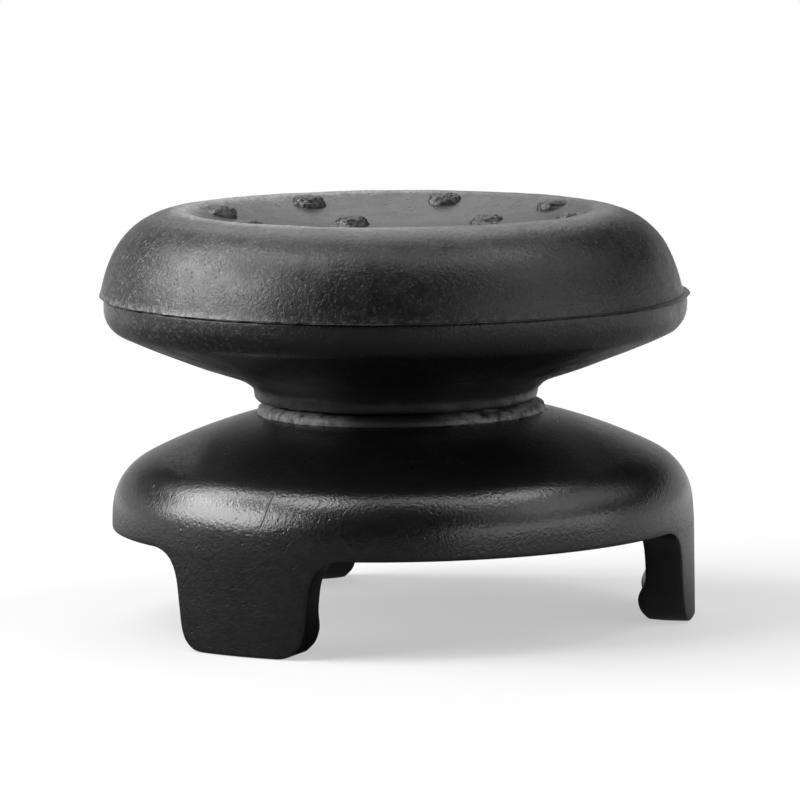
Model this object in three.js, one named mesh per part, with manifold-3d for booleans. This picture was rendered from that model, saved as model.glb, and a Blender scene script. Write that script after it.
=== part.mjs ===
// Thumb grip for a game controller's stick: a soft domed cap on a hard base whose
// three legs snap over the stick's round top. Millimetres, +Z up, axis on Z,
// feet on z = 0.

import * as THREE from 'three';
import { mergeVertices } from 'three/addons/utils/BufferGeometryUtils.js';
import Module from 'manifold-3d';

// Outer size: the cap's rim, with the base's skirt a hair inside it
const CAP_RADIUS = 12.0;
const SKIRT_INSET = 0.05;

// Clip base: legs
const LEG_COUNT = 3;
const LEG_LENGTH = 3.95;
const LEG_FOOT_WIDTH = 6.2;
const LEG_TAPER = 8;
const LEG_CORNER_RADIUS = 1.1;
const LEG_ROOT_FILLET = 1.3;
const FOOT_EDGE_RADIUS = 0.3;
const LIP_REACH = 0.4;
const LIP_TIP_HEIGHT = 1.0;
const LIP_RAMP = 0.9;
const LIP_SWEEP = 0.7;

// Clip base: skirt, dome and the socket below them
const SKIRT_RADIUS = CAP_RADIUS - SKIRT_INSET;
const SKIRT_DRAFT = 2.4;
const SKIRT_HEIGHT = 0.8;
const SHOULDER_RADIUS = 2.4;
const SHOULDER_SLOPE = 25.7;
const DOME_BOW = 22.5;
const SKIRT_WALL = 1.6;
const SOCKET_RISE = 2.05;
const SOCKET_CORNER = 1.0;

// Neck, where the cap sits on the base, and the anchor that holds it
const COLLAR_RADIUS = 5.8;
const RING_LEDGE = 0.15;
const RING_HEIGHT = 0.4;
const POST_RADIUS = 4.3;
const ANCHOR_RADIUS = 8.0;
const ANCHOR_THICKNESS = 1.2;
const ANCHOR_LIFT = 1.75;
const ANCHOR_CLEARANCE = 0.2;

// Rubber cap
const COLLAR_HEIGHT = 0.92;
const UNDERSIDE_SLOPE = 17.5;
const UNDERSIDE_BOW = 45;
const LOWER_CORNER = 1.09;
const LOWER_WALL = 0.52;
const SEAM_STEP = 0.08;
const SIDE_DRAFT = 10.5;
const SIDE_BOW = 7.15;
const SIDE_TURN = 13.5;
const CROWN_RADIUS = 3.05;
const CREST_RADIUS = 1.2;
const CREST_TURN = 27;
const DISH_FILLET = 0.9;
const DISH_BOW = 40;

// Grip dots on the dish
const DOT_RADIUS = 0.68;
const DOT_HEIGHT = 0.4;
const DOT_EDGE = 0.2;
const DOT_ROOT = 0.5;
const DOT_START = 34;
const OUTER_DOT_COUNT = 8;
const OUTER_DOT_INSET = 1.45;
const INNER_DOT_COUNT = 4;
const INNER_DOT_RING = 4.05;

// Facets
const TURN_SEGMENTS = 60;
const DOT_SEGMENTS = 10;
const ARC_STEP = 15;
const LIP_STEPS = 5;
const CUT_MARGIN = 2;

const wasm = await Module();
wasm.setup();
const { Manifold, Mesh } = wasm;

const rad = THREE.MathUtils.degToRad;
const deg = THREE.MathUtils.radToDeg;

// An outline drawn by a pen that holds a heading in degrees, where 0 points along
// +x and a positive turn is to the left.
class Outline {
  constructor(x, y, heading = 0) {
    this.points = [new THREE.Vector2(x, y)];
    this.heading = heading;
  }

  get end() {
    return this.points[this.points.length - 1];
  }

  to(x, y) {
    this.points.push(new THREE.Vector2(x, y));
    return this;
  }

  line(length) {
    const h = rad(this.heading);
    return this.to(this.end.x + length * Math.cos(h), this.end.y + length * Math.sin(h));
  }

  arc(radius, turn) {
    const steps = Math.max(2, Math.ceil(Math.abs(turn) / ARC_STEP));
    const chord = 2 * radius * Math.sin(rad(Math.abs(turn) / steps) / 2);
    for (let i = 0; i < steps; i++) {
      this.heading += turn / steps / 2;
      this.line(chord);
      this.heading += turn / steps / 2;
    }
    return this;
  }
}

// Turns a closed mesh into a solid that can be joined and cut.
function solidOf(geometry) {
  const bare = geometry.clone();
  bare.deleteAttribute('normal');
  bare.deleteAttribute('uv');
  const merged = mergeVertices(bare);
  const index = merged.index.array;
  const triangles = [];
  for (let i = 0; i < index.length; i += 3) {
    const [a, b, c] = index.slice(i, i + 3);
    if (a !== b && b !== c && c !== a) {
      triangles.push(a, b, c);
    }
  }
  const vertProperties = new Float32Array(merged.attributes.position.array);
  const triVerts = new Uint32Array(triangles);
  return new Manifold(new Mesh({ numProp: 3, vertProperties, triVerts }));
}

// Turns a solid back into a flat-shaded geometry.
function geometryOf(solid) {
  const mesh = solid.getMesh();
  const geometry = new THREE.BufferGeometry();
  geometry.setAttribute('position', new THREE.BufferAttribute(mesh.vertProperties, 3));
  geometry.setIndex(new THREE.BufferAttribute(mesh.triVerts, 1));
  geometry.computeVertexNormals();
  return geometry;
}

// Revolves an outline of (radius, height) points around +Z. The outline starts and
// ends on the axis.
function turned(points, segments) {
  const geometry = new THREE.LatheGeometry(points, segments);
  geometry.rotateX(Math.PI / 2);
  return solidOf(geometry);
}

// Base outline from the skirt's lower edge up to the ring at the neck. Its last
// point is where the dome meets the ring.
function domeOutline() {
  const outline = new Outline(SKIRT_RADIUS, LEG_LENGTH, 90 + SKIRT_DRAFT);
  outline.line(SKIRT_HEIGHT);
  outline.arc(SHOULDER_RADIUS, 90 - SKIRT_DRAFT - SHOULDER_SLOPE);
  const ringRadius = COLLAR_RADIUS + RING_LEDGE;
  const rise = Math.sin(rad(SHOULDER_SLOPE)) - (outline.end.x - ringRadius) / DOME_BOW;
  const endSlope = deg(Math.asin(rise));
  outline.arc(DOME_BOW, SHOULDER_SLOPE - endSlope);
  outline.end.x = ringRadius;
  return outline;
}

const dome = domeOutline();
const seatHeight = dome.end.y + RING_HEIGHT;
const anchorBottom = seatHeight + COLLAR_HEIGHT + ANCHOR_LIFT;
const anchorTop = anchorBottom + ANCHOR_THICKNESS;
const socketRadius = SKIRT_RADIUS - SKIRT_WALL;
const socketCeiling = LEG_LENGTH + SOCKET_RISE;

// The base as one turned shape, with its legs still joined into a full tube.
function baseBlank() {
  const outline = new Outline(0, socketCeiling);
  outline.line(socketRadius - SOCKET_CORNER);
  outline.arc(SOCKET_CORNER, -90);
  for (let i = 0; i <= LIP_STEPS; i++) {
    const share = i / LIP_STEPS;
    const reach = (LIP_REACH * (1 - Math.cos(Math.PI * share))) / 2;
    outline.to(socketRadius - reach, LIP_TIP_HEIGHT + LIP_RAMP * (1 - share));
  }
  const tipRadius = socketRadius - LIP_REACH;
  for (let i = 1; i <= LIP_STEPS; i++) {
    const turn = rad((90 * i) / LIP_STEPS);
    outline.to(tipRadius + LIP_SWEEP * (1 - Math.cos(turn)), LIP_TIP_HEIGHT * (1 - Math.sin(turn)));
  }
  outline.to(SKIRT_RADIUS - FOOT_EDGE_RADIUS, 0);
  outline.heading = 0;
  outline.arc(FOOT_EDGE_RADIUS, 90);
  outline.points.push(...dome.points);
  outline.to(dome.end.x, seatHeight);
  outline.to(POST_RADIUS, seatHeight);
  outline.to(POST_RADIUS, anchorBottom);
  outline.to(ANCHOR_RADIUS, anchorBottom);
  outline.to(ANCHOR_RADIUS, anchorTop);
  outline.to(0, anchorTop);
  return turned(outline.points, TURN_SEGMENTS);
}

// A block that keeps one leg's width of the tube, with round foot corners and
// fillets where the leg meets the skirt. Its face is drawn along the rim and up,
// and it widens outwards from the axis, so that the leg's flanks are radial.
function legKeeper(angle) {
  const bend = 90 - LEG_TAPER;
  const straight = LEG_LENGTH - (LEG_CORNER_RADIUS + LEG_ROOT_FILLET) * (1 - Math.cos(rad(bend)));
  const flank = new Outline(LEG_FOOT_WIDTH / 2 - LEG_CORNER_RADIUS, -CUT_MARGIN);
  flank.to(flank.end.x, 0);
  flank.arc(LEG_CORNER_RADIUS, bend);
  flank.line(straight / Math.sin(rad(bend)));
  flank.arc(LEG_ROOT_FILLET, -bend);
  flank.to(flank.end.x, LEG_LENGTH + CUT_MARGIN);
  const mirrored = flank.points.map((p) => new THREE.Vector2(-p.x, p.y)).reverse();
  const inner = socketRadius / 2;
  const geometry = new THREE.ExtrudeGeometry(new THREE.Shape([...flank.points, ...mirrored]), {
    depth: SKIRT_RADIUS + CUT_MARGIN - inner,
    bevelEnabled: false,
  });
  geometry.translate(0, 0, inner);
  const position = geometry.attributes.position;
  for (let i = 0; i < position.count; i++) {
    position.setX(i, (position.getX(i) * position.getZ(i)) / SKIRT_RADIUS);
  }
  const outwards = new THREE.Vector3(Math.cos(angle), Math.sin(angle), 0);
  const up = new THREE.Vector3(0, 0, 1);
  const along = new THREE.Vector3().crossVectors(up, outwards);
  geometry.applyMatrix4(new THREE.Matrix4().makeBasis(along, up, outwards));
  return solidOf(geometry);
}

// The windows between the legs, cut out of everything below the skirt's edge.
function legWindows() {
  const height = LEG_LENGTH + CUT_MARGIN / 2;
  const disc = new THREE.CylinderGeometry(
    SKIRT_RADIUS + CUT_MARGIN / 2,
    SKIRT_RADIUS + CUT_MARGIN / 2,
    height,
    TURN_SEGMENTS,
  );
  disc.rotateX(Math.PI / 2);
  disc.translate(0, 0, LEG_LENGTH - height / 2);
  let windows = solidOf(disc);
  for (let i = 0; i < LEG_COUNT; i++) {
    windows = windows.subtract(legKeeper((2 * Math.PI * i) / LEG_COUNT));
  }
  return windows;
}

// The cap's outline in its own frame, with the collar's lower face at height 0. It
// runs from the collar round the rim to the middle of the dish.
function capOutline() {
  const outline = new Outline(COLLAR_RADIUS, 0);
  outline.to(COLLAR_RADIUS, COLLAR_HEIGHT);
  const run = CAP_RADIUS - COLLAR_RADIUS - LOWER_CORNER;
  const start = UNDERSIDE_BOW * Math.sin(rad(UNDERSIDE_SLOPE));
  const rimSlope = deg(Math.asin((run + start) / (UNDERSIDE_BOW - LOWER_CORNER)));
  outline.heading = UNDERSIDE_SLOPE;
  outline.arc(UNDERSIDE_BOW, rimSlope - UNDERSIDE_SLOPE);
  outline.arc(LOWER_CORNER, 90 - rimSlope);
  outline.end.x = CAP_RADIUS;
  outline.line(LOWER_WALL);
  outline.to(CAP_RADIUS - SEAM_STEP, outline.end.y);
  outline.heading = 90 + SIDE_DRAFT;
  outline.arc(SIDE_BOW, SIDE_TURN);
  outline.arc(CROWN_RADIUS, 90 - SIDE_DRAFT - SIDE_TURN);
  const crest = outline.end.clone();
  outline.arc(CREST_RADIUS, CREST_TURN);
  const reach = outline.end.x - DISH_FILLET * Math.sin(rad(CREST_TURN));
  const dishSlope = deg(Math.asin(reach / (DISH_BOW - DISH_FILLET)));
  outline.arc(DISH_FILLET, dishSlope - CREST_TURN);
  const edge = outline.end.clone();
  const floor = edge.y - DISH_BOW * (1 - Math.cos(rad(dishSlope)));
  const dishSteps = 5;
  for (let i = dishSteps - 1; i >= 0; i--) {
    const slope = rad((dishSlope * i) / dishSteps);
    outline.to(DISH_BOW * Math.sin(slope), floor + DISH_BOW * (1 - Math.cos(slope)));
  }
  return { points: outline.points, crest, floor };
}

// The hollow in the cap for the post and the anchor, as an outline that is joined
// to the collar's lower face.
function anchorHollow() {
  const bottom = COLLAR_HEIGHT + ANCHOR_LIFT - ANCHOR_CLEARANCE;
  const top = bottom + ANCHOR_THICKNESS + 2 * ANCHOR_CLEARANCE;
  const outline = new Outline(0, top);
  outline.to(ANCHOR_RADIUS + ANCHOR_CLEARANCE, top);
  outline.to(ANCHOR_RADIUS + ANCHOR_CLEARANCE, bottom);
  outline.to(POST_RADIUS + ANCHOR_CLEARANCE, bottom);
  outline.to(POST_RADIUS + ANCHOR_CLEARANCE, 0);
  return outline.points;
}

// One grip dot: a short stud with a rounded top edge, rooted in the dish.
function gripDot() {
  const outline = new Outline(0, -DOT_ROOT);
  outline.to(DOT_RADIUS, -DOT_ROOT);
  outline.to(DOT_RADIUS, DOT_HEIGHT - DOT_EDGE);
  outline.heading = 90;
  outline.arc(DOT_EDGE, 90);
  outline.to(0, DOT_HEIGHT);
  return turned(outline.points, DOT_SEGMENTS);
}

function rubberCap() {
  const { points, crest, floor } = capOutline();
  let cap = turned([...anchorHollow(), ...points], TURN_SEGMENTS);
  const dot = gripDot();
  const rings = [
    { count: OUTER_DOT_COUNT, radius: crest.x - OUTER_DOT_INSET },
    { count: INNER_DOT_COUNT, radius: INNER_DOT_RING },
  ];
  for (const { count, radius } of rings) {
    const height = floor + DISH_BOW - Math.sqrt(DISH_BOW ** 2 - radius ** 2);
    for (let i = 0; i < count; i++) {
      const angle = rad(DOT_START + (360 * i) / count);
      cap = cap.add(dot.translate([radius * Math.cos(angle), radius * Math.sin(angle), height]));
    }
  }
  return cap;
}

const baseMaterial = new THREE.MeshStandardMaterial({ color: 0x2f2f30, roughness: 0.45, metalness: 0 });
const rubberMaterial = new THREE.MeshStandardMaterial({ color: 0x2a2a2b, roughness: 0.85, metalness: 0 });

const clipBase = new THREE.Mesh(geometryOf(baseBlank().subtract(legWindows())), baseMaterial);
clipBase.name = 'clip_base';

const cap = new THREE.Mesh(geometryOf(rubberCap()), rubberMaterial);
cap.name = 'rubber_cap';
cap.position.z = seatHeight;

const thumbGrip = new THREE.Group();
thumbGrip.name = 'thumb_grip';
thumbGrip.add(clipBase, cap);

export default thumbGrip;
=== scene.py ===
"""A thumb grip for a controller stick: a dotted rubber cap on a hard clip base.

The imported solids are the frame. Both of them are replaced by finer pieces of the same
size: the cap gets its seam, flash and rough dots, and the base its soft edges and legs.
"""

import logging
import math
from collections.abc import Callable
from dataclasses import dataclass, field
from enum import Enum
from functools import cached_property
from typing import NamedTuple

import bmesh
import bpy
from mathutils import Matrix, Vector


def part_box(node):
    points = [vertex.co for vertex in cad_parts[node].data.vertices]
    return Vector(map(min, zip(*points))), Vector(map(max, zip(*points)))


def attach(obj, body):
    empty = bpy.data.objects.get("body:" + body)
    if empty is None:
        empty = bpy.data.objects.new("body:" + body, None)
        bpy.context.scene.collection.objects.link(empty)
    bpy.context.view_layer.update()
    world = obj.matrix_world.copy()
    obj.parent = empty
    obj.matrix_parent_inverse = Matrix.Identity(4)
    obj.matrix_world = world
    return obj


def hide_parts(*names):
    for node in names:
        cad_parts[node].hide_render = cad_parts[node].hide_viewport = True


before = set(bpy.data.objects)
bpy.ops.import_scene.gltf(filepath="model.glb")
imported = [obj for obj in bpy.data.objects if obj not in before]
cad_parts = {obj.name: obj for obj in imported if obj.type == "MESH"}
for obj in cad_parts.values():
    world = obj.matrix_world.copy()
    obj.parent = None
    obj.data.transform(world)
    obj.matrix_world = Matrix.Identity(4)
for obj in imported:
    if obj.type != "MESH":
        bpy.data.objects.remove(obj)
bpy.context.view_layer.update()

LOG = logging.getLogger("thumb_grip")
MM = 0.001
TINY = 0.01 * MM
MERGE_DISTANCE = 1e-6
VIEW_AZIMUTH = 4.0
UP = Vector((0, 0, 1))

Span = tuple[float, float]
Test = Callable[[Vector], bool]


class Slot(Enum):
    """The record's material slots."""

    RUBBER = "rubber"
    BASE_PLASTIC = "base_plastic"


# Modelling


def pick_only(*objects: bpy.types.Object) -> None:
    """Selects these objects and nothing else, and makes the first one active.

    Args:
        objects: The objects to select.
    """
    bpy.ops.object.select_all(action="DESELECT")
    for obj in objects:
        obj.select_set(True)
    bpy.context.view_layer.objects.active = objects[0] if objects else None


def set_down(obj: bpy.types.Object, turn: float, place: tuple[float, float, float] = (0, 0, 0)) -> None:
    """Turns an object about the axis and moves it, and applies both to its mesh.

    Args:
        obj: The object, which is at the origin.
        turn: Its turn, in radians.
        place: Where its origin goes.
    """
    pick_only(obj)
    obj.location = place
    obj.rotation_euler = (0, 0, turn)
    bpy.ops.object.transform_apply(location=True, rotation=True, scale=False)


class Sculpt:
    """A mesh object that is shaped with edit-mode operators and modifiers."""

    def __init__(self, name: str) -> None:
        """Takes over the object that the last primitive operator added.

        Args:
            name: The object's new name.
        """
        self.obj = bpy.context.object
        self.obj.name = name
        self.obj.data.name = name

    def __enter__(self) -> "Sculpt":
        """Opens edit mode."""
        pick_only(self.obj)
        bpy.ops.object.mode_set(mode="EDIT")
        return self

    def __exit__(self, *_: object) -> None:
        """Goes back to object mode."""
        bpy.ops.object.mode_set(mode="OBJECT")

    def _pick(self, kind: str, test: Callable[[object], bool]) -> int:
        """Selects the vertices, edges or faces that pass a test.

        Args:
            kind: VERT, EDGE or FACE.
            test: Says for each one whether it is picked.

        Returns:
            How many were picked.
        """
        bpy.ops.mesh.select_mode(type=kind)
        cage = bmesh.from_edit_mesh(self.obj.data)
        elements = {"VERT": cage.verts, "EDGE": cage.edges, "FACE": cage.faces}[kind]
        for element in elements:
            element.select_set(test(element))
        cage.select_flush_mode()
        bmesh.update_edit_mesh(self.obj.data)
        return sum(element.select for element in elements)

    def pick_vertices(self, test: Test) -> int:
        """Selects the vertices whose place, in metres, passes a test."""
        return self._pick("VERT", lambda vertex: test(vertex.co))

    def pick_faces(self, test: Test) -> int:
        """Selects the faces whose middle, in metres, passes a test."""
        return self._pick("FACE", lambda face: test(face.calc_center_median()))

    def pick_sharp_edges(self, angle: float, test: Test) -> int:
        """Selects the edges whose faces meet at more than an angle.

        Args:
            angle: The least angle between the two faces, in degrees.
            test: Says for an edge's middle, in metres, whether it may be picked.

        Returns:
            How many edges were picked.
        """

        def sharp(edge: bmesh.types.BMEdge) -> bool:
            """Says whether an edge is sharp and may be picked."""
            bent = edge.is_manifold and edge.calc_face_angle() > math.radians(angle)
            return bent and test((edge.verts[0].co + edge.verts[1].co) / 2)

        return self._pick("EDGE", sharp)

    def extrude(self, rise: float, stretch: Span = (1, 1)) -> None:
        """Extrudes the selection upwards and stretches its new end about the axis.

        Args:
            rise: How far up it goes.
            stretch: The factors along X and Y.
        """
        bpy.ops.mesh.extrude_region_move(TRANSFORM_OT_translate={"value": (0, 0, rise)})
        bpy.ops.transform.resize(value=(*stretch, 1), center_override=(0, 0, 0))

    def tidy(self) -> None:
        """Merges doubles and turns all faces outwards, in edit mode."""
        bpy.ops.mesh.select_all(action="SELECT")
        bpy.ops.mesh.remove_doubles(threshold=MERGE_DISTANCE)
        bpy.ops.mesh.normals_make_consistent()

    def group(self, name: str, test: Test) -> str:
        """Puts the vertices that pass a test in a vertex group.

        Args:
            name: The group's name.
            test: Says for a place, in metres, whether its vertex is in the group.

        Returns:
            The group's name.
        """
        found = [v.index for v in self.obj.data.vertices if test(v.co)]
        self.obj.vertex_groups.new(name=name).add(found, 1.0, "REPLACE")
        return name

    def modify(self, kind: str, **settings: object) -> None:
        """Adds a modifier and applies it.

        Args:
            kind: The modifier's type.
            settings: Its properties.
        """
        pick_only(self.obj)
        modifier = self.obj.modifiers.new(kind.lower(), kind)
        for key, value in settings.items():
            setattr(modifier, key, value)
        bpy.ops.object.modifier_apply(modifier=modifier.name)

    def roughen(self, size: float, depth: float, group: str = "") -> None:
        """Pushes the surface in and out along its normals by a cloud pattern.

        Args:
            size: How wide the pattern's bumps are, in metres.
            depth: From the lowest to the highest place, in metres.
            group: The vertex group that moves, or nothing for all of the mesh.
        """
        clouds = bpy.data.textures.new(f"{self.obj.name}_clouds", "CLOUDS")
        clouds.noise_scale = size
        clouds.noise_depth = 2
        self.modify("DISPLACE", texture=clouds, strength=depth, vertex_group=group)

    def smooth(self, angle: float) -> None:
        """Shades the piece smooth but for edges sharper than an angle.

        Args:
            angle: The angle in degrees.
        """
        pick_only(self.obj)
        bpy.ops.object.shade_smooth_by_angle(angle=math.radians(angle))

    def copy(self, turn: float, place: tuple[float, float, float] = (0, 0, 0)) -> bpy.types.Object:
        """Copies the piece and sets the copy down.

        Args:
            turn: The copy's turn, in radians.
            place: Where its origin goes.

        Returns:
            The copy.
        """
        pick_only(self.obj)
        bpy.ops.object.duplicate()
        made = bpy.context.object
        set_down(made, turn, place)
        return made


@dataclass
class Outline:
    """An outline of (radius, height) points, drawn by a pen that holds a heading.

    Heading 0 points away from the axis and a positive turn is to the left.
    """

    radius: float
    height: float
    heading: float = 0.0
    step_angle: float = 12.0
    step_length: float = 0.6 * MM
    points: list[tuple[float, float]] = field(default_factory=list)

    def __post_init__(self) -> None:
        """Starts the outline at the pen's place."""
        self.points.append((self.radius, self.height))

    def to(self, radius: float, height: float) -> None:
        """Draws a line to a place.

        Args:
            radius: The place's distance from the axis.
            height: The place's height.
        """
        self.radius, self.height = radius, height
        self.points.append((radius, height))

    def line(self, length: float) -> None:
        """Draws a line along the heading.

        Args:
            length: The line's length.
        """
        turn = math.radians(self.heading)
        self.to(self.radius + length * math.cos(turn), self.height + length * math.sin(turn))

    def arc(self, radius: float, turn: float) -> None:
        """Draws an arc that starts along the heading.

        Args:
            radius: The arc's radius.
            turn: How far the heading turns, in degrees.
        """
        length = radius * math.radians(abs(turn))
        steps = max(2, math.ceil(abs(turn) / self.step_angle), math.ceil(length / self.step_length))
        chord = 2 * radius * math.sin(math.radians(abs(turn) / steps) / 2)
        for _ in range(steps):
            self.heading += turn / steps / 2
            self.line(chord)
            self.heading += turn / steps / 2


def turn_up(name: str, outline: Outline, columns: int) -> Sculpt:
    """Models a round, closed shape ring by ring.

    Args:
        name: The new object's name.
        outline: Its outline, from the edge of a flat disc round to the axis.
        columns: How many vertices a ring has.

    Returns:
        The new piece.
    """
    (radius, height), *rest = outline.points
    pick_only()
    bpy.ops.mesh.primitive_circle_add(vertices=columns, radius=radius, fill_type="TRIFAN")
    piece = Sculpt(name)
    with piece:
        bpy.ops.mesh.select_all(action="SELECT")
        bpy.ops.transform.translate(value=(0, 0, height))
        bpy.ops.mesh.region_to_loop()
        for next_radius, next_height in rest:
            piece.extrude(next_height - height, (next_radius / radius, next_radius / radius))
            radius, height = next_radius, next_height
        piece.tidy()
    return piece


# Shaders


class Value:
    """A shader socket that Python's operators work on. Each one adds a Math node."""

    def __init__(self, shader: "Shader", socket: bpy.types.NodeSocket) -> None:
        """Wraps a socket.

        Args:
            shader: The shader that the socket is in.
            socket: The output socket.
        """
        self.shader = shader
        self.socket = socket

    def _math(self, operation: str, *values: object) -> "Value":
        """Adds one Math node.

        Args:
            operation: The node's operation.
            values: Its inputs in order.

        Returns:
            The node's result.
        """
        return self.shader.node("Math", dict(enumerate(values)), operation=operation)

    def __add__(self, other: object) -> "Value":
        """Adds a value."""
        return self._math("ADD", self, other)

    def __sub__(self, other: object) -> "Value":
        """Takes a value away."""
        return self._math("SUBTRACT", self, other)

    def __rsub__(self, other: object) -> "Value":
        """Takes this away from a number."""
        return self._math("SUBTRACT", other, self)

    def __mul__(self, other: object) -> "Value":
        """Multiplies by a value."""
        return self._math("MULTIPLY", self, other)

    __radd__ = __add__
    __rmul__ = __mul__

    def __abs__(self) -> "Value":
        """Gives the size without its sign."""
        return self._math("ABSOLUTE", self)

    def beside(self, output: str) -> "Value":
        """Gives another output of the same node."""
        return Value(self.shader, self.socket.node.outputs[output])

    def rise(self, low: float, high: float) -> "Value":
        """Gives 0 below low, 1 above high, and a smooth rise between them.

        Args:
            low: Where the rise starts.
            high: Where it ends.

        Returns:
            The share from 0 to 1.
        """
        inputs = {"Value": self, "From Min": low, "From Max": high}
        return self.shader.node("MapRange", inputs, interpolation_type="SMOOTHSTEP")

    def fall(self, low: float, high: float) -> "Value":
        """Gives 1 below low, 0 above high, and a smooth fall between them."""
        return 1 - self.rise(low, high)


class Grain(NamedTuple):
    """A noise pattern, which its span turns into patches.

    The scale counts bumps to the metre, and detail and rough say how many finer layers
    there are and how strong they are. Bend distorts it. The span holds the noise levels
    where a patch starts and where it is full.
    """

    scale: float
    detail: float = 2.0
    rough: float = 0.5
    bend: float = 0.0
    span: Span | None = None


class Marks(NamedTuple):
    """Small round marks that come in patches.

    The scale counts them to the metre, and the edge holds the distances from a mark's
    middle where it starts to fade and where it ends, as shares of the marks' spacing.
    """

    scale: float
    edge: Span
    patches: Grain


class Shader:
    """The nodes of a material or the world."""

    def __init__(self, owner: bpy.types.Material | bpy.types.World, output: str = "OutputMaterial") -> None:
        """Clears the nodes of a material or a world.

        Args:
            owner: The material or world.
            output: The type of its output node.
        """
        owner.use_nodes = True
        self.owner = owner
        self.tree = owner.node_tree
        self.tree.nodes.clear()
        self.output = self.tree.nodes.new(f"ShaderNode{output}")

    @cached_property
    def place(self) -> "Value":
        """The object's own coordinates."""
        return self.node("TexCoord", {}, "Object")

    def node(
        self, kind: str, inputs: dict[str | int, object], output: str | int = 0, **settings: object
    ) -> Value:
        """Adds a node.

        Args:
            kind: The node's type, without its first part.
            inputs: Its inputs by name or number, each a number, a tuple or a value.
            output: The output that is wanted.
            settings: Its properties, which are set first.

        Returns:
            The output as a value.
        """
        made = self.tree.nodes.new(f"ShaderNode{kind}")
        for key, value in settings.items():
            setattr(made, key, value)
        for key, value in inputs.items():
            if isinstance(value, Value):
                self.tree.links.new(value.socket, made.inputs[key])
            elif value is not None:
                made.inputs[key].default_value = value
        return Value(self, made.outputs[output])

    def vector(self, operation: str, first: object, second: object, output: str | int = 0) -> Value:
        """Adds a Vector Math node.

        Args:
            operation: The node's operation.
            first: Its first input.
            second: Its second input, or nothing.
            output: The output that is wanted.

        Returns:
            The output.
        """
        return self.node("VectorMath", {0: first, 1: second}, output, operation=operation)

    def coordinate(self, place: Value, number: int) -> Value:
        """Gives one coordinate of a place: 0 for X, 1 for Y or 2 for Z."""
        return self.node("SeparateXYZ", {0: place}, number)

    def noise(self, grain: Grain, place: Value | None = None) -> Value:
        """Adds a noise.

        Args:
            grain: The pattern.
            place: Where it is read, or nothing for the object's own place.

        Returns:
            The noise, from 0 to 1 around 0.5, or its patches where the grain has a span.
        """
        inputs = {
            "Vector": place or self.place,
            "Scale": grain.scale,
            "Detail": grain.detail,
            "Roughness": grain.rough,
            "Distortion": grain.bend,
        }
        level = self.node("TexNoise", inputs)
        return level.rise(*grain.span) if grain.span else level

    def marks(self, marks: Marks) -> Value:
        """Draws small round marks.

        Args:
            marks: The pattern.

        Returns:
            1 on a mark and 0 off it.
        """
        inputs = {"Vector": self.place, "Scale": marks.scale}
        distance = self.node("TexVoronoi", inputs, "Distance")
        return distance.fall(*marks.edge) * self.noise(marks.patches)

    def strokes(self, scale: float, width: float, share: float, offset: float) -> Value:
        """Draws short, thin, curly lines.

        Args:
            scale: How tightly the lines curl, in curls to the metre.
            width: The line's width as a share of the noise's range.
            share: How much of the surface has lines, from 0 to 1.
            offset: Moves the pattern along.

        Returns:
            1 on a line and 0 off it.
        """
        moved = self.vector("ADD", self.place, (offset, 2 * offset, 3 * offset))
        line = abs(self.noise(Grain(scale, 1.0, 0.4, 0.6), moved) - 0.5).fall(width * 0.4, width)
        patches = Grain(scale * 1.7, 1.0, span=(0.62 - 0.25 * share, 0.7 - 0.25 * share))
        return line * self.noise(patches, moved)

    def grey(self, level: Value) -> Value:
        """Makes a neutral colour from a level."""
        return self.node("CombineColor", {0: level, 1: level, 2: level})

    def bump(self, height: Value, distance: float, under: Value | None = None) -> Value:
        """Adds a relief.

        Args:
            height: The relief, from 0 to 1.
            distance: How high 1 is, in metres.
            under: The relief below it, or nothing.

        Returns:
            The normal.
        """
        return self.node("Bump", {"Height": height, "Distance": distance, "Normal": under})

    def finish(self, surface: Value) -> bpy.types.Material | bpy.types.World:
        """Joins a surface to the output.

        Args:
            surface: The surface.

        Returns:
            The finished material or world.
        """
        self.tree.links.new(surface.socket, self.output.inputs["Surface"])
        return self.owner

    def principled(self, **inputs: object) -> bpy.types.Material:
        """Adds the Principled shader and joins it to the output.

        Args:
            inputs: Its inputs, with an underscore for each space.

        Returns:
            The finished material.
        """
        named = {key.replace("_", " "): value for key, value in inputs.items()}
        return self.finish(self.node("BsdfPrincipled", named))


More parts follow.
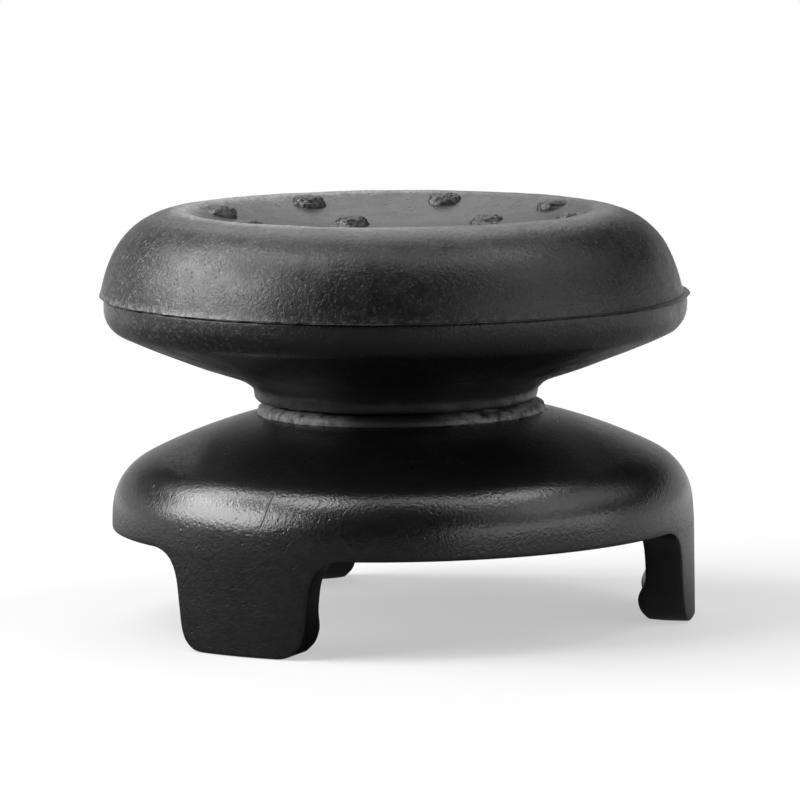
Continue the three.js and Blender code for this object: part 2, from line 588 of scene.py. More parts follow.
@dataclass(frozen=True)
class RubberFinish:
    """Matte moulded rubber with fine dust, curly marks and a darker lower half, with painted light: a
    lighter left side where the key light falls, painted highlights along the crest and the flash edge, and
    a lighter band round the collar.

    Spans are in metres: across from the grip's middle, out from the cap's axis or the
    crest, or up from the seam.
    """

    centre: Vector
    axis: Vector
    seam_height: float
    crest_radius: float
    level: float = 0.007
    dust_level: float = 0.3
    settled_dust: float = 0.025
    roughness: float = 0.37
    specular: float = 0.64
    upper_half: Span = (-0.04 * MM, 0.02 * MM)
    # Spans of painted light: the lit left side, the crest and flash-edge highlights and the lighter collar
    # band.
    lit_side_span: Span = (-9 * MM, -2 * MM)
    crest_highlight_side: Span = (-2 * MM, 4 * MM)
    crest_highlight_band: Span = (0, 0.85 * MM)
    crest_highlight_raggedness: float = 0.9 * MM
    crest_highlight_pores: Span = (0.2, 0.65)
    flash_highlight_start: Span = (0.0, 0.03 * MM)
    flash_highlight_end: Span = (0.08 * MM, 0.34 * MM)
    collar_light_band: Span = (6 * MM, 8.5 * MM)
    dish_edge: Span = (-0.6 * MM, -0.3 * MM)
    flat_facing: Span = (0.45, 0.95)
    steep_facing: Span = (0.6, 0.9)
    mottle: Grain = Grain(1400, 4, 0.6)
    clouds: Grain = Grain(260, span=(0.1, 0.6))
    blotches: Grain = Grain(4600, 3, 0.7, span=(0.54, 0.66))
    specks: Marks = Marks(6200, (0.15, 0.35), Grain(1700, span=(0.48, 0.6)))
    flecks: Marks = Marks(4300, (0.12, 0.34), Grain(2100, span=(0.46, 0.58)))
    pores: Grain = Grain(6000, 2, 0.6)
    flash_highlight_breakup: Grain = Grain(4200, span=(0.42, 0.58))
    crest_highlight_edge: Grain = Grain(1100, 4, 0.7)
    pore_depth: float = 0.013 * MM
    mottle_depth: float = 0.02 * MM

    def material(self) -> bpy.types.Material:
        """Builds the material.

        Returns:
            The material.
        """
        shader = Shader(bpy.data.materials.new("matte_rubber"))
        local = shader.vector("SUBTRACT", shader.place, self.centre)
        above = shader.vector("DOT_PRODUCT", local, self.axis, "Value") + (self.centre.z - self.seam_height)
        radial = shader.vector("LENGTH", shader.vector("CROSS_PRODUCT", local, self.axis), None, "Value")
        upper = above.rise(*self.upper_half)
        across = shader.coordinate(local, 0)
        # Painted light: the left side, where the key light falls, gets more dust, more curls and a lighter
        # tone.
        lit_side = across.fall(*self.lit_side_span)
        mottle = shader.noise(self.mottle)
        blotches = shader.noise(self.blotches)
        flecks = shader.marks(self.flecks)
        curls = shader.strokes(scale=3800, width=0.05, share=0.7, offset=0.013)
        pores = shader.noise(self.pores)

        # Painted highlight: a lighter ragged band on the flash just above the seam, strongest on the lit
        # left side.
        flash_highlight = above.rise(*self.flash_highlight_start) * above.fall(*self.flash_highlight_end) * shader.noise(self.flash_highlight_breakup)
        flash_highlight = flash_highlight * (0.15 + 0.85 * lit_side)
        # Painted highlight: a lighter ragged band along the crest, broken by pores and stronger on the
        # left.
        ragged = (shader.noise(self.crest_highlight_edge) - 0.5) * self.crest_highlight_raggedness
        crest_highlight = (abs(radial - self.crest_radius) + ragged).fall(*self.crest_highlight_band)
        crest_highlight = crest_highlight * upper * pores.rise(*self.crest_highlight_pores)
        crest_highlight = crest_highlight * (0.4 + 0.8 * across.fall(*self.crest_highlight_side))

        dust = 0.24 * blotches + 0.7 * shader.marks(self.specks) + 0.14 * curls
        dust = dust * shader.noise(self.clouds) * (0.35 + 0.65 * upper) * (0.12 + 0.88 * lit_side)
        dust = dust + 0.2 * curls * lit_side * (1 - upper)
        # Painted light: the lower half is lighter towards the collar.
        collar_light = radial.fall(*self.collar_light_band) * (1 - upper) * (0.3 + 1.4 * mottle)
        facing = shader.node("NewGeometry", {}, "Normal")
        upward = shader.vector("DOT_PRODUCT", facing, self.axis, "Value")
        dished = radial.fall(*(self.crest_radius + edge for edge in self.dish_edge)) * upper
        settled = upward.rise(*self.flat_facing) + dished * upward.fall(*self.steep_facing)
        settled = settled * (0.4 + 1.2 * mottle)

        # Tone: mottled black and settled dust, then painted light on the left side, round the collar, on
        # the flash edge and along the crest.
        level = (
            self.level * (0.75 + 0.5 * mottle)
            + (settled + collar_light + lit_side * upper * mottle) * self.settled_dust
            + (dust + 0.5 * flash_highlight + crest_highlight) * (self.dust_level - self.level)
        )
        relief = shader.bump(pores, self.pore_depth)
        uneven = mottle + 0.1 * curls + 0.25 * blotches - 0.25 * flecks
        relief = shader.bump(uneven, self.mottle_depth, relief)
        return shader.principled(
            Base_Color=shader.grey(level),
            Roughness=self.roughness + 0.3 * (mottle - 0.5) + 0.2 * flecks,
            Specular_IOR_Level=self.specular,
            Normal=relief,
        )


@dataclass(frozen=True)
class GrainedPlasticFinish:
    """Satin black plastic with the fine grain of a spark-eroded mould.

    A thin flow line crosses the shoulder, and the ring under the cap is painted light grey in patches at
    its left and right, where side light falls.
    """

    ring_bottom: float
    level: float = 0.006
    roughness: float = 0.26
    specular: float = 1.0
    ring_level: float = 0.45
    flow_line_normal: Vector = Vector((0.918, 0.016, -0.397))
    flow_line_point: Vector = Vector((-4.57 * MM, -10.77 * MM, 5.95 * MM))
    flow_line_edge: Span = (0.012 * MM, 0.04 * MM)
    flow_line_reach: Span = (0.7 * MM, 1.0 * MM)
    flow_line_waves: Grain = Grain(900, 1)
    flow_line_wave_height: float = 0.12 * MM
    ring_edge: Span = (-0.02 * MM, 0.06 * MM)
    ring_raggedness: float = 0.16 * MM
    ring_frays: Grain = Grain(2500)
    ring_lit_sides: Span = (1.2 * MM, 3.6 * MM)
    ring_side_light_patches: Grain = Grain(2200, 4, 0.65, span=(0.3, 0.7))
    faded_heights: Span = (4.5 * MM, 6.5 * MM)
    fading: Grain = Grain(3000, 4, 0.7, span=(0.35, 0.7))
    grain: Grain = Grain(9000, 2, 0.6)
    worms: Grain = Grain(6000, 2, 0.5, 0.5)
    mottle: Grain = Grain(1800, 3, 0.6)
    clouds: Grain = Grain(400, 3, 0.55)
    pits: Marks = Marks(3200, (0.1, 0.3), Grain(1500, span=(0.45, 0.6)))
    grain_depth: float = 0.01 * MM
    worm_depth: float = 0.014 * MM
    pit_depth: float = 0.014 * MM

    def flow_line(self, shader: Shader) -> Value:
        """Draws the thin line that crosses the shoulder between two legs.

        Args:
            shader: The material's nodes.

        Returns:
            1 on the line and 0 off it.
        """
        normal = self.flow_line_normal.normalized()
        across = shader.vector("DOT_PRODUCT", shader.place, normal, "Value")
        wave = (shader.noise(self.flow_line_waves) - 0.5) * self.flow_line_wave_height
        line = abs(across - normal.dot(self.flow_line_point) + wave).fall(*self.flow_line_edge)
        near = shader.vector("DISTANCE", shader.place, self.flow_line_point, "Value")
        return line * near.fall(*self.flow_line_reach)

    def material(self) -> bpy.types.Material:
        """Builds the material.

        Returns:
            The material.
        """
        shader = Shader(bpy.data.materials.new("grained_plastic"))
        mottle = shader.noise(self.mottle)
        clouds = shader.noise(self.clouds)
        pits = shader.marks(self.pits)
        line = self.flow_line(shader)
        side = abs(shader.coordinate(shader.place, 0))
        height = shader.coordinate(shader.place, 2)
        ragged = height + (shader.noise(self.ring_frays) - 0.5) * self.ring_raggedness
        ring = ragged.rise(*(self.ring_bottom + edge for edge in self.ring_edge))
        # Painted light: the ring is light grey in patches at its left and right, where side light falls,
        # and stays dark in the middle.
        ring_side_light_patches = shader.noise(self.ring_side_light_patches) * side.rise(*self.ring_lit_sides)
        faded = shader.noise(self.fading) * height.fall(*self.faded_heights)
        plain = self.level * (0.4 + 1.2 * mottle + 1.5 * faded) * (1 - 0.8 * line) * (1 - 0.9 * pits)
        relief = shader.bump(shader.noise(self.grain), self.grain_depth)
        relief = shader.bump(shader.noise(self.worms), self.worm_depth, relief)
        relief = shader.bump(1 - (line + 0.5 * pits), self.pit_depth, relief)
        return shader.principled(
            Base_Color=shader.grey(plain + ring * ring_side_light_patches * self.ring_level),
            Roughness=self.roughness + 0.1 * (clouds - 0.5) + 0.3 * ring + 0.3 * line,
            Specular_IOR_Level=self.specular,
            Normal=relief,
        )


@dataclass(frozen=True)
class PaperFinish:
    """The pale paper of floor and backdrop, which fades to plain white away from the grip.

    Spans are distances in metres, where a change starts and where it ends.
    """

    seen_level: float = 0.9
    lighting_level: float = 0.11
    fade: Span = (0.013, 0.05)
    near_white: float = 0.5
    mirrored_centre: tuple[float, float, float] = (0, -0.1, 0)
    mirrored_fade: Span = (0.09, 0.2)
    far_fade: Span = (0.6, 0.8)
    far_share: float = 0.5
    bounce: float = 0.22
    bounce_side: Span = (0.0, 0.03)
    bounce_reach: Span = (0.1, 0.2)

    def material(self) -> bpy.types.Material:
        """Builds the material.

        Returns:
            The material.
        """
        shader = Shader(bpy.data.materials.new("pale_paper"))
        away = shader.vector("LENGTH", shader.place, None, "Value")
        from_front = shader.vector("DISTANCE", shader.place, self.mirrored_centre, "Value")
        seen = shader.node("LightPath", {}, "Is Camera Ray")
        mirrored = seen.beside("Is Glossy Ray") + seen.beside("Is Transmission Ray")
        across = shader.coordinate(shader.place, 0)
        bounce = self.bounce * across.rise(*self.bounce_side) * away.fall(*self.bounce_reach)
        dimmed = from_front.rise(*self.mirrored_fade) * (1 - self.far_share * away.rise(*self.far_fade))
        white_share = seen * (self.near_white + (1 - self.near_white) * away.rise(*self.fade))
        white_share = white_share + mirrored * (dimmed + bounce)
        level = self.lighting_level + (self.seen_level - self.lighting_level) * seen
        lit = shader.node("BsdfDiffuse", {"Color": shader.grey(level)})
        white = shader.node("Emission", {"Color": (1, 1, 1, 1), "Strength": 1.0})
        return shader.finish(shader.node("MixShader", {0: white_share, 1: lit, 2: white}))


# The pieces


@dataclass
class ClipBase:
    """The domed base: a skirt with three legs, a socket below and an anchor on top."""

    columns: int = 120
    skirt_radius: float = 11.95 * MM
    skirt_draft: float = 2.4
    skirt_height: float = 0.8 * MM
    skirt_wall: float = 1.6 * MM
    shoulder_radius: float = 2.4 * MM
    shoulder_slope: float = 26.6
    dome_bow: float = 22.5 * MM
    socket_rise: float = 2.05 * MM
    socket_corner: float = 1.0 * MM
    ring_radius: float = 5.95 * MM
    ring_height: float = 0.46 * MM
    ring_fillet: float = 0.08 * MM
    post_radius: float = 4.3 * MM
    anchor_radius: float = 8.0 * MM
    anchor_thickness: float = 1.2 * MM
    leg_count: int = 3
    leg_columns: int = 14
    leg_length: float = 3.95 * MM
    leg_foot_width: float = 6.2 * MM
    leg_taper: float = 8.0
    leg_corner_radius: float = 1.1 * MM
    leg_root_fillet: float = 1.3 * MM
    leg_step_angle: float = 27.5
    leg_least_step: float = 0.1 * MM
    lip_reach: float = 0.4 * MM
    lip_tip_height: float = 1.0 * MM
    lip_ramp: float = 0.9 * MM
    lip_sweep: float = 0.7 * MM
    lip_levels: tuple[float, ...] = tuple(level * MM for level in (0.15, 0.4, 0.7, 1.0, 1.3, 1.6, 1.9, 2.4))
    top_rings: int = 3
    edge_radius: float = 0.09 * MM
    edge_angle: float = 38
    edge_inner_radius: float = 9.5 * MM
    smooth_angle: float = 50
    ring_bottom: float = 0.0

    def outline(self) -> Outline:
        """Draws the round body, from the socket's ceiling to the anchor's top.

        Returns:
            The outline.
        """
        lowest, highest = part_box("clip_base")
        socket_radius = self.skirt_radius - self.skirt_wall
        ceiling = self.leg_length + self.socket_rise
        pen = Outline(socket_radius - self.socket_corner, lowest.z + ceiling)
        pen.arc(self.socket_corner, -90)
        pen.to(socket_radius, lowest.z + self.leg_length)
        pen.to(self.skirt_radius, pen.height)
        pen.heading = 90 + self.skirt_draft
        pen.line(self.skirt_height)
        pen.arc(self.shoulder_radius, 90 - self.skirt_draft - self.shoulder_slope)
        rise = math.sin(math.radians(self.shoulder_slope)) - (pen.radius - self.ring_radius) / self.dome_bow
        end_slope = math.degrees(math.asin(rise))
        pen.arc(self.dome_bow, self.shoulder_slope - end_slope)
        self.ring_bottom = pen.height
        pen.heading = 180 - end_slope
        pen.arc(self.ring_fillet, end_slope - 90)
        anchor_bottom = highest.z - self.anchor_thickness
        pen.to(pen.radius, pen.height + self.ring_height - self.ring_fillet)
        pen.to(self.post_radius, pen.height)
        pen.to(self.post_radius, anchor_bottom)
        pen.to(self.anchor_radius, anchor_bottom)
        pen.to(self.anchor_radius, highest.z)
        for i in reversed(range(self.top_rings)):
            pen.to(self.anchor_radius * i / self.top_rings, highest.z)
        return pen

    def flank(self) -> list[tuple[float, float]]:
        """Draws one side of a leg, along the rim and up from the foot.

        Returns:
            The (half width, height) points.
        """
        bend = 90 - self.leg_taper
        turns = self.leg_corner_radius + self.leg_root_fillet
        straight = self.leg_length - turns * (1 - math.cos(math.radians(bend)))
        foot = self.leg_foot_width / 2 - self.leg_corner_radius
        pen = Outline(foot, 0, step_angle=self.leg_step_angle, step_length=math.inf)
        pen.arc(self.leg_corner_radius, bend)
        pen.line(straight / math.sin(math.radians(bend)))
        pen.arc(self.leg_root_fillet, -bend)
        return pen.points

    def depth(self, height: float) -> float:
        """Gives a leg's thickness at a height above the foot.

        Args:
            height: The height.

        Returns:
            The distance from the outer face to the inner face.
        """
        tip = self.skirt_wall + self.lip_reach
        if height > self.lip_tip_height:
            share = min(1.0, (height - self.lip_tip_height) / self.lip_ramp)
            return tip - self.lip_reach * (1 - math.cos(math.pi * share)) / 2
        share = 1 - height / self.lip_tip_height
        return tip - self.lip_sweep * (1 - math.sqrt(1 - share * share))

    def half_width(self, height: float) -> float:
        """Gives half a leg's width at a height, measured round the skirt.

        Args:
            height: The height above the foot.

        Returns:
            The length of the arc from the leg's middle to its flank.
        """
        points = self.flank()
        for (low_x, low_z), (high_x, high_z) in zip(points, points[1:]):
            if height <= high_z:
                break
        share = min(1.0, (height - low_z) / (high_z - low_z))
        return self.skirt_radius * math.atan((low_x + (high_x - low_x) * share) / self.skirt_radius)

    def leg(self) -> Sculpt:
        """Models one leg as a flat plate and bends it round the skirt.

        Returns:
            The leg, open at its top, in its place on the +X side.
        """
        flank_heights = [z for _, z in self.flank()]
        heights = [flank_heights[-1]]
        for height in sorted([*flank_heights[1:-1], *self.lip_levels], reverse=True):
            if min(heights[-1] - height, height) > self.leg_least_step:
                heights.append(height)
        heights.append(0.0)
        half_angle = math.pi * self.leg_columns / self.columns
        width, depth = 2 * self.skirt_radius * half_angle, self.skirt_wall
        pick_only()
        bpy.ops.mesh.primitive_grid_add(x_subdivisions=self.leg_columns, y_subdivisions=1, size=1)
        piece = Sculpt("leg")
        with piece:
            bpy.ops.mesh.select_all(action="SELECT")
            bpy.ops.transform.resize(value=(width, depth, 1))
            bpy.ops.transform.translate(value=(0, depth / 2, self.leg_length))
            for above, height in zip(heights, heights[1:]):
                next_width, next_depth = 2 * self.half_width(height), self.depth(height)
                piece.extrude(height - above, (next_width / width, next_depth / depth))
                width, depth = next_width, next_depth
            piece.pick_faces(lambda place: place.z > self.leg_length - TINY)
            bpy.ops.mesh.delete(type="ONLY_FACE")
        piece.modify("SIMPLE_DEFORM", deform_method="BEND", deform_axis="Z", angle=2 * half_angle)
        set_down(piece.obj, math.pi / 2, (self.skirt_radius, 0, 0))
        return piece

    def over_leg(self, place: Vector) -> bool:
        """Says whether a place is on the skirt's lower edge, where a leg joins it."""
        sector = 2 * math.pi / self.leg_count
        angle = math.atan2(place.y, place.x) % sector
        in_sector = min(angle, sector - angle) < math.pi * self.leg_columns / self.columns
        level = abs(place.z - self.leg_length) < TINY
        return in_sector and level and place.xy.length > self.skirt_radius - self.skirt_wall

    def build(self) -> bpy.types.Object:
        """Models the base.

        Returns:
            The finished piece.
        """
        base = turn_up("grip_base", self.outline(), self.columns)
        with base:
            base.pick_faces(self.over_leg)
            bpy.ops.mesh.delete(type="ONLY_FACE")
        leg = self.leg()
        copies = [leg.copy(2 * math.pi * i / self.leg_count) for i in range(1, self.leg_count)]
        pick_only(base.obj, leg.obj, *copies)
        bpy.ops.object.join()
        with base:
            base.tidy()
            found = base.pick_sharp_edges(
                self.edge_angle,
                lambda place: place.z < self.leg_length + TINY and place.xy.length > self.edge_inner_radius,
            )
            LOG.info("base: %d sharp edges softened", found)
            bpy.ops.mesh.bevel(offset=self.edge_radius, segments=2, affect="EDGES")
            base.tidy()
        base.modify("SUBSURF", levels=1)
        base.smooth(self.smooth_angle)
        return base.obj


@dataclass
class RubberCap:
    """The dished cap: collar, underside, seam, crown, dish and grip dots."""

    columns: int = 120
    radius: float = 12.0 * MM
    collar_radius: float = 5.8 * MM
    collar_lift: float = 0.16 * MM
    collar_height: float = 0.76 * MM
    collar_foot: tuple[Span, ...] = ((-0.2 * MM, 0), (-0.05 * MM, 0.06 * MM), (0, 0.2 * MM))
    collar_flare: tuple[Span, ...] = ((0.02 * MM, -0.15 * MM), (0.08 * MM, 0), (0.55 * MM, 0.35 * MM))
    underside_slope: float = 17.5
    underside_bow: float = 45 * MM
    lower_corner: float = 1.09 * MM
    lower_wall: float = 0.52 * MM
    lower_inset: float = 0.06 * MM
    groove_depth: float = 0.04 * MM
    groove_height: float = 0.08 * MM
    groove_bevel: float = 0.02 * MM
    flash_reach: float = 0.06 * MM
    flash_thickness: float = 0.05 * MM
    seam_step: float = 0.08 * MM
    seam_bead: tuple[Span, ...] = ((0.05 * MM, 0.02 * MM), (0, 0.08 * MM))
    side_draft: float = 10.5
    side_bow: float = 7.15 * MM
    side_turn: float = 13.5
    crown_radius: float = 3.05 * MM
    crest_radius: float = 1.2 * MM
    crest_turn: float = 27.0
    dish_fillet: float = 0.9 * MM
    dish_bow: float = 27 * MM
    dish_rings: int = 12
    post_radius: float = 4.5 * MM
    anchor_radius: float = 8.2 * MM
    hollow_bottom: float = 2.47 * MM
    hollow_top: float = 4.07 * MM
    dot_radius: float = 0.62 * MM
    dot_height: float = 0.26 * MM
    dot_columns: int = 16
    dot_depth: float = 0.5 * MM
    dot_flare: tuple[Span, ...] = ((1.25, -0.05 * MM), (1.08, 0.04 * MM), (1, 0.14 * MM))
    dot_dome: tuple[Span, ...] = ((0.97, 0.62), (0.8, 0.88), (0.5, 1), (0, 1))
    dot_bumps: tuple[Span, ...] = ((0.35 * MM, 0.16 * MM), (0.14 * MM, 0.1 * MM))
    outer_dots: tuple[float, ...] = (32.6, 77.6, 122.6, 167.6, 222, 257.6, 302.6, 347.6)
    outer_dot_inset: float = 1.1 * MM
    inner_dots: tuple[Span, ...] = ((45, 5.1 * MM), (117, 4.6 * MM), (207, 4.7 * MM), (297, 4.8 * MM))
    body_bumps: Span = (1.6 * MM, 0.05 * MM)
    flash_bumps: Span = (0.5 * MM, 0.09 * MM)
    collar_bumps: Span = (0.7 * MM, 0.1 * MM)
    collar_band: Span = (-0.25 * MM, 0.15 * MM)
    collar_band_rise: float = 0.05 * MM
    mould_shift: float = 0.16 * MM
    mould_shift_turn: float = -78
    slip: float = 0.21 * MM
    lean: float = 0.5
    smooth_angle: float = 40
    axis: Vector = field(default_factory=UP.copy)
    centre: Vector = field(default_factory=Vector)
    seam_height: float = 0.0
    crest: float = 0.0
    floor: float = 0.0

    def outline(self) -> Outline:
        """Draws the cap, from the anchor's hollow round the rim to the dish's middle.

        Returns:
            The outline.
        """
        lowest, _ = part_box("rubber_cap")
        pen = Outline(self.anchor_radius, lowest.z + self.hollow_top)
        pen.to(self.anchor_radius, lowest.z + self.hollow_bottom)
        pen.to(self.post_radius, pen.height)
        bottom, top = lowest.z + self.collar_lift, lowest.z + self.collar_height
        pen.to(self.post_radius, bottom)
        for out, up in self.collar_foot:
            pen.to(self.collar_radius + out, bottom + up)
        for out, up in self.collar_flare:
            pen.to(self.collar_radius + out, top + up)
        pen.heading = self.underside_slope
        lower_radius = self.radius - self.lower_inset
        run = lower_radius - pen.radius - self.lower_corner
        start = self.underside_bow * math.sin(math.radians(self.underside_slope))
        rim_slope = math.degrees(math.asin((run + start) / (self.underside_bow - self.lower_corner)))
        pen.arc(self.underside_bow, rim_slope - self.underside_slope)
        pen.arc(self.lower_corner, 90 - rim_slope)
        pen.line(self.lower_wall - self.groove_height)
        self.seam_height = pen.height + self.groove_height
        flash_bottom = self.seam_height - self.flash_thickness / 2
        pen.to(lower_radius - self.groove_depth, pen.height + self.groove_bevel)
        pen.to(lower_radius - self.groove_depth, flash_bottom)
        pen.to(self.radius + self.flash_reach, flash_bottom)
        pen.to(self.radius + self.flash_reach, self.seam_height)
        pen.to(self.radius - self.seam_step, self.seam_height)
        for out, up in self.seam_bead:
            pen.to(self.radius - self.seam_step + out, self.seam_height + up)
        pen.heading = 90 + self.side_draft
        pen.arc(self.side_bow, self.side_turn)
        pen.arc(self.crown_radius, 90 - self.side_draft - self.side_turn)
        self.crest = pen.radius
        pen.arc(self.crest_radius, self.crest_turn)
        reach = pen.radius - self.dish_fillet * math.sin(math.radians(self.crest_turn))
        dish_slope = math.degrees(math.asin(reach / (self.dish_bow - self.dish_fillet)))
        pen.arc(self.dish_fillet, dish_slope - self.crest_turn)
        edge = pen.radius
        self.floor = pen.height - self.dish_bow * (1 - math.cos(math.radians(dish_slope)))
        for i in reversed(range(self.dish_rings)):
            radius = edge * i / self.dish_rings
            pen.to(radius, self.dish_height(radius))
        return pen

    def dish_height(self, radius: float) -> float:
        """Gives the dish's height at a distance from the axis."""
        return self.floor + self.dish_bow - math.sqrt(self.dish_bow**2 - radius**2)

    def dot(self) -> Sculpt:
        """Models one grip dot: a domed stud with a flared root.

        Returns:
            The stud at the origin.
        """
        pen = Outline(self.dot_radius * self.dot_flare[0][0], -self.dot_depth)
        for share, height in self.dot_flare:
            pen.to(self.dot_radius * share, height)
        for share, rise in self.dot_dome:
            pen.to(self.dot_radius * share, self.dot_height * rise)
        stud = turn_up("dot", pen, self.dot_columns)
        stud.modify("SUBSURF", levels=2)
        return stud

    def dots(self) -> Sculpt:
        """Copies the stud to its twelve places and roughens the copies.

        Returns:
            All dots as one piece.
        """
        stud = self.dot()
        copies = []
        outer = self.crest - self.outer_dot_inset
        for turn, ring in [(turn, outer) for turn in self.outer_dots] + list(self.inner_dots):
            angle = math.radians(turn)
            place = (ring * math.cos(angle), ring * math.sin(angle), self.dish_height(ring))
            copies.append(stud.copy(angle, place))
        bpy.data.objects.remove(stud.obj)
        pick_only(*copies)
        bpy.ops.object.join()
        dots = Sculpt("dots")
        for size, depth in self.dot_bumps:
            dots.roughen(size, depth)
        return dots

    def build(self) -> bpy.types.Object:
        """Models the cap.

        Returns:
            The finished piece.
        """
        cap = turn_up("grip_cap", self.outline(), self.columns)
        shift = direction(VIEW_AZIMUTH + self.mould_shift_turn, 0) * self.mould_shift
        lowest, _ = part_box("rubber_cap")
        collar_top = lowest.z + self.collar_height + self.collar_band_rise
        collar_inside, collar_outside = (self.collar_radius + edge for edge in self.collar_band)

        def in_dish(place: Vector) -> bool:
            """Says whether a place is as high as the dish's floor or higher."""
            return place.z > self.floor - TINY

        with cap:
            cap.pick_vertices(
                lambda place: place.z > self.seam_height - TINY
                and place.xy.length < self.radius + TINY
                and (place.xy.length > self.anchor_radius + TINY or in_dish(place))
            )
            bpy.ops.transform.translate(value=shift)
        cap.modify("SUBSURF", levels=1)
        body = cap.group("body", lambda place: place.xy.length > collar_outside or in_dish(place))
        flash = cap.group("flash", lambda place: place.xy.length > self.radius + TINY)
        collar = cap.group(
            "collar",
            lambda place: place.z < collar_top and collar_inside < place.xy.length < collar_outside,
        )
        cap.roughen(*self.body_bumps, body)
        cap.roughen(*self.flash_bumps, flash)
        cap.roughen(*self.collar_bumps, collar)
        dots = self.dots()
        cap.modify("BOOLEAN", operation="UNION", object=dots.obj, solver="EXACT")
        bpy.data.objects.remove(dots.obj)
        with cap:
            cap.tidy()
        self.settle(cap.obj)
        cap.smooth(self.smooth_angle)
        return cap.obj

    def settle(self, cap: bpy.types.Object) -> None:
        """Sets the soft cap down a little askew on the base.

        Args:
            cap: The cap, whose mesh takes up the move.
        """
        lowest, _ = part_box("rubber_cap")
        seat = Vector((0, 0, lowest.z))
        back = direction(VIEW_AZIMUTH, 0)
        side = UP.cross(back)
        lean = Matrix.Rotation(math.radians(-self.lean), 4, back)
        self.axis = lean @ self.axis
        self.centre = seat - side * self.slip
        cap.matrix_world = Matrix.Translation(self.centre) @ lean @ Matrix.Translation(-seat)
        pick_only(cap)
        bpy.ops.object.transform_apply(location=True, rotation=True, scale=False)


# The studio


@dataclass(frozen=True)
class SoftLight:
    """A soft area lamp that faces the grip."""

    name: str
    azimuth: float
    elevation: float
    width: float
    height: float
    radiance: float
    distance: float = 0.30

    def place(self, aim: Vector) -> None:
        """Adds the lamp, at its turn from the camera's.

        Args:
            aim: The point that it faces.
        """
        back = direction(VIEW_AZIMUTH + self.azimuth, self.elevation)
        bpy.ops.object.light_add(type="AREA", location=aim + back * self.distance)
        lamp = bpy.context.object
        lamp.name = self.name
        lamp.rotation_euler = back.to_track_quat("Z", "Y").to_euler()
        lamp.data.shape = "RECTANGLE"
        lamp.data.size, lamp.data.size_y = self.width, self.height
        lamp.data.energy = self.radiance * math.pi * self.width * self.height


def direction(azimuth: float, elevation: float) -> Vector:
    """Gives the direction from the grip to a camera or a lamp.

    Args:
        azimuth: Degrees from the front, to the right.
        elevation: Degrees above the floor.

    Returns:
        The unit direction.
    """
    a, e = math.radians(azimuth), math.radians(elevation)
    return Vector((math.sin(a) * math.cos(e), -math.cos(a) * math.cos(e), math.sin(e)))


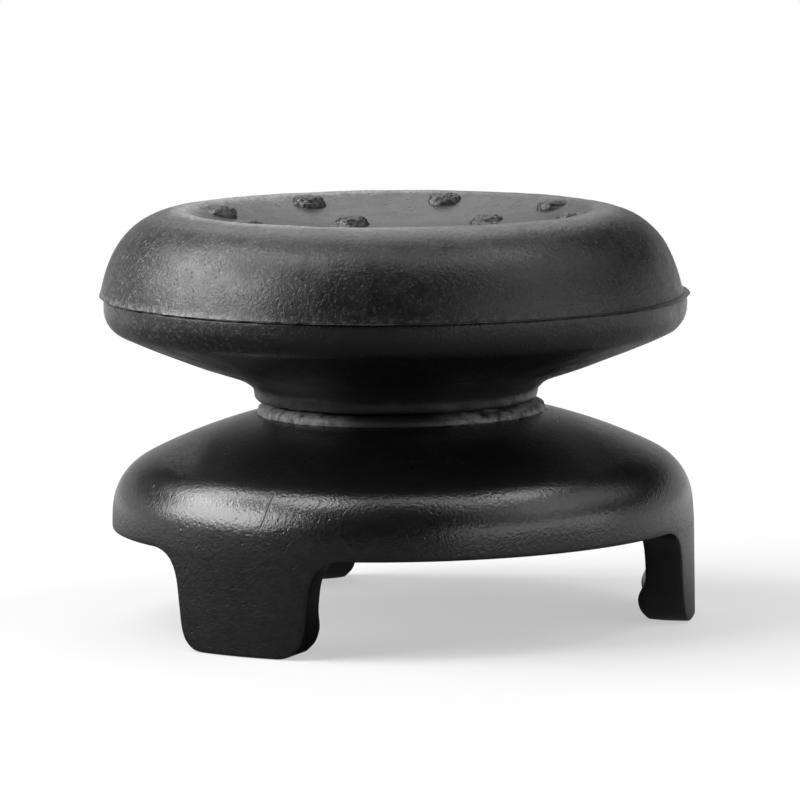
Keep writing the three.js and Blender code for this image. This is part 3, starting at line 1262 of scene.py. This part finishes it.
@dataclass
class Studio:
    """The camera, the pale floor and the soft lights."""

    elevation: float = 6.9
    roll: float = 0.92
    distance: float = 246 * MM
    aim_height: float = 9 * MM
    slide: Span = (-0.045 * MM, -0.062 * MM)
    lens: float = 270.0
    sensor_width: float = 36.0
    clip: Span = (0.01, 20.0)
    floor_size: float = 3.0
    backdrop_columns: int = 72
    backdrop_radius: float = 0.9
    backdrop_height: float = 0.23
    backdrop_front: float = -0.25
    world_level: float = 0.01
    lights: tuple[SoftLight, ...] = (
        SoftLight("key_light", -83, 28, 0.28, 0.16, 6.4),
        SoftLight("high_left_light", -68, 62, 0.12, 0.07, 5.5),
        SoftLight("rear_left_light", -113, 45, 0.10, 0.13, 5.5),
        SoftLight("back_light", 182, 46, 0.17, 0.24, 1.65),
        SoftLight("right_light", 90, 63, 0.11, 0.06, 4.5),
        SoftLight("low_fill_light", 54, 12, 0.40, 0.08, 1.5),
        SoftLight("front_fill_light", 58, 47, 0.22, 0.20, 0.45),
        SoftLight("right_fill_light", 85, 38, 0.28, 0.12, 0.8),
        SoftLight("overhead_light", -20, 80, 0.34, 0.03, 4.0),
    )

    def camera(self) -> None:
        """Adds the camera at the photograph's angle."""
        back = direction(VIEW_AZIMUTH, self.elevation)
        right = UP.cross(back).normalized()
        up = back.cross(right)
        turn = math.radians(self.roll)
        side = right * math.cos(turn) - up * math.sin(turn)
        top = right * math.sin(turn) + up * math.cos(turn)
        bpy.ops.object.camera_add()
        camera = bpy.context.object
        camera.name = "camera"
        camera.data.lens = self.lens
        camera.data.sensor_width = self.sensor_width
        camera.data.clip_start, camera.data.clip_end = self.clip
        centre = UP * self.aim_height + side * self.slide[0] + top * self.slide[1]
        matrix = Matrix((side, top, back)).transposed().to_4x4()
        matrix.translation = centre + back * self.distance
        camera.matrix_world = matrix
        bpy.context.scene.camera = camera

    def stage(self) -> None:
        """Adds the floor and the low curved backdrop behind the grip."""
        paper = PaperFinish().material()
        pick_only()
        bpy.ops.mesh.primitive_plane_add(size=self.floor_size)
        floor = Sculpt("floor")
        pick_only()
        bpy.ops.mesh.primitive_circle_add(vertices=self.backdrop_columns, radius=self.backdrop_radius)
        backdrop = Sculpt("backdrop")
        with backdrop:
            backdrop.pick_vertices(lambda place: place.y < self.backdrop_front * self.backdrop_radius)
            bpy.ops.mesh.delete(type="VERT")
            bpy.ops.mesh.select_all(action="SELECT")
            backdrop.extrude(self.backdrop_height)
        for piece in (floor, backdrop):
            piece.obj.data.materials.append(paper)

    def world(self) -> None:
        """Sets a dim grey world that the camera sees as white."""
        shader = Shader(bpy.data.worlds.new("studio_world"), "OutputWorld")
        seen = shader.node("LightPath", {}, "Is Camera Ray")
        level = seen * (1 - self.world_level) + self.world_level
        back = shader.node("Background", {"Color": (1, 1, 1, 1), "Strength": level})
        bpy.context.scene.world = shader.finish(back)

    def build(self) -> None:
        """Sets up camera, floor, world and lights."""
        bpy.context.scene.view_settings.view_transform = "Standard"
        self.camera()
        self.stage()
        self.world()
        for light in self.lights:
            light.place(UP * self.aim_height)


def dress(piece: bpy.types.Object, material: bpy.types.Material, node: str) -> None:
    """Gives a piece its finish and lets it stand for a solid.

    Args:
        piece: The finished piece.
        material: Its material.
        node: The solid that it replaces.
    """
    piece.data.materials.clear()
    piece.data.materials.append(material)
    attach(piece, "root")
    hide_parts(node)
    LOG.info("%s: %d faces, stands for %s", piece.name, len(piece.data.polygons), node)


def main() -> None:
    logging.basicConfig(level=logging.INFO, format="%(name)s: %(message)s")
    Studio().build()
    base = ClipBase()
    dress(base.build(), GrainedPlasticFinish(base.ring_bottom).material(), "clip_base")
    cap = RubberCap()
    piece = cap.build()
    rubber = RubberFinish(cap.centre, cap.axis, cap.seam_height, cap.crest)
    dress(piece, rubber.material(), "rubber_cap")


if __name__ == "__main__":
    main()
